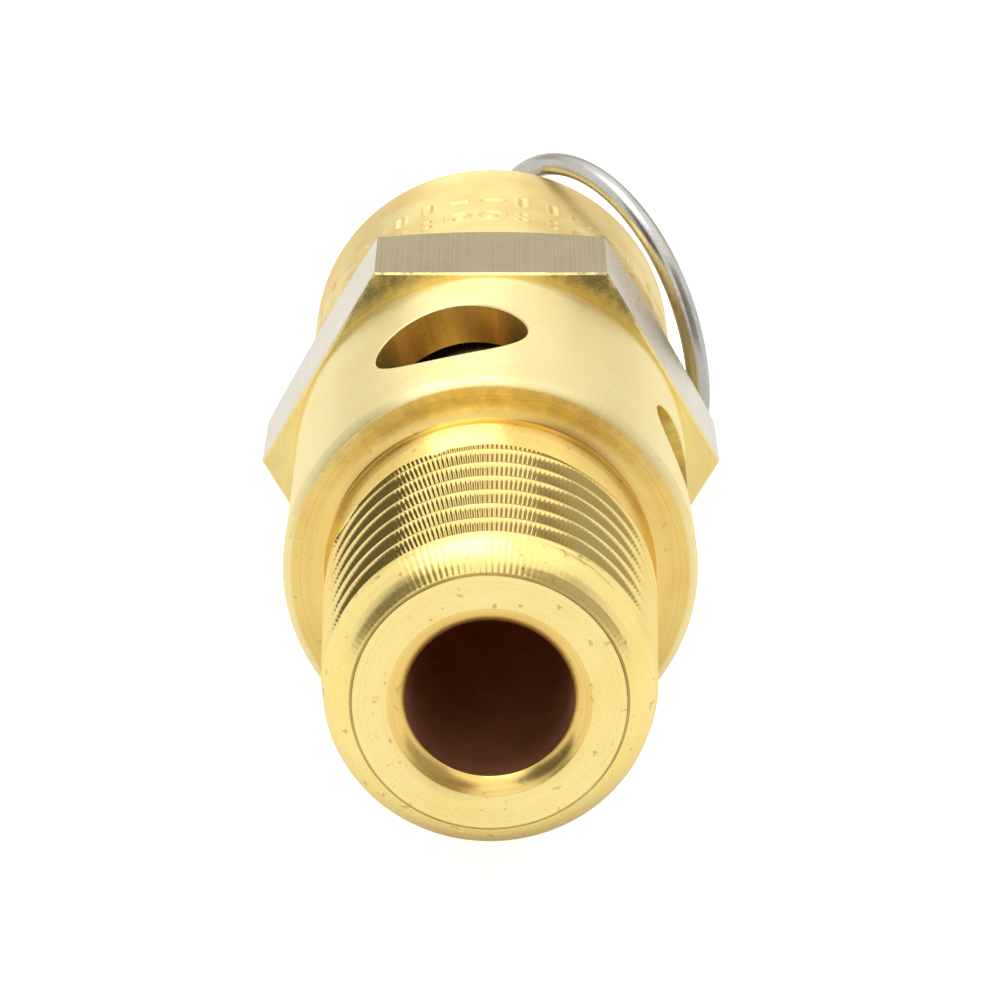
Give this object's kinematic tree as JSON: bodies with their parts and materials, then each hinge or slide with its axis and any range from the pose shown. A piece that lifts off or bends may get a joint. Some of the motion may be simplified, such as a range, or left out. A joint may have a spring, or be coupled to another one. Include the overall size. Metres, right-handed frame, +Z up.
{
  "type": "pressure relief valve",
  "caption": "Small brass spring-loaded pressure relief valve with a tapered male inlet thread, side discharge holes, a hexagon, a round bonnet and a pull ring.",
  "frame": {"origin": "centre of the inlet end face, on the valve's axis", "axes": "+Y along the valve's axis from the inlet to the pull ring; +Z up, square to the hexagon flat opposite the one it lies on; +X to the right seen from the inlet"},
  "size_m": [0.0208, 0.0524, 0.0186],
  "materials": {
    "base_brass": "turned, bright satin",
    "bonnet_brass": "turned, satin, stamped",
    "seat_rubber": "matt dark red-brown",
    "holder_brass": "turned",
    "pin_steel": "ground",
    "stem_steel": "turned stainless",
    "step_brass": "turned",
    "spring_steel": "drawn stainless wire",
    "screw_brass": "turned",
    "nut_brass": "drawn hexagon, satin",
    "ring_steel": "drawn stainless wire, satin"
  },
  "bodies": {
    "body": {"valve_base": "base_brass", "bonnet": "bonnet_brass", "upper_spring_step": "step_brass", "adjusting_screw": "screw_brass", "lock_nut": "nut_brass", "spring": "spring_steel"},
    "lift": {"seat_disc": "seat_rubber", "disc_holder": "holder_brass", "drive_pin": "pin_steel", "stem": "stem_steel", "lower_spring_step": "step_brass"},
    "ring": {"pull_ring": "ring_steel"}
  },
  "joints": [
    {"name": "seat_lift", "type": "slide", "parent": "body", "child": "lift", "axis": [0, 1, 0], "range_m": [0, 0.0015], "stiffness_N_per_m": 5770, "springref_m": -0.0068, "deforming": ["spring"]},
    {"name": "ring_swing", "type": "hinge", "parent": "lift", "child": "ring", "pos_m": [0, 0.0502, 0], "axis": [-0.1305, 0, 0.9914], "range_deg": [0, 290]}
  ]
}
